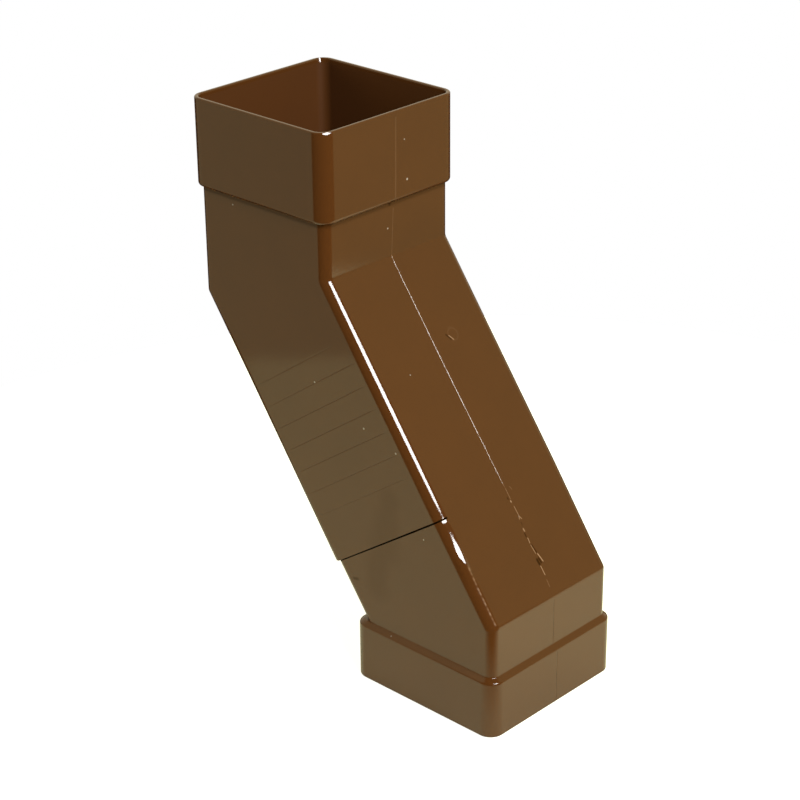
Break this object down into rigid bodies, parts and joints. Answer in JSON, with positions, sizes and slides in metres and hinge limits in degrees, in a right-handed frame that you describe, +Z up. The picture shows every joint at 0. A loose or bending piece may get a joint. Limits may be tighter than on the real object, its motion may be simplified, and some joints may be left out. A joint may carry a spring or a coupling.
{
  "type": "downspout elbow",
  "caption": "Square downpipe offset fitting: a socket at each end and a slanted hollow tube between them, cemented from an upper and a lower bend, to lead rainwater sideways.",
  "frame": {"origin": "centre of the bottom socket's mouth, on the lower pipe's axis", "axes": "+Z up along both pipes, as installed; the upper pipe stands off towards -X and the front of the slant faces +X; Y is the width"},
  "size_m": [0.1838, 0.0856, 0.2597],
  "materials": {
    "brown_plastic": "gloss"
  },
  "bodies": {
    "root": {"upper_bend": "brown_plastic", "lower_bend": "brown_plastic"}
  },
  "joints": []
}
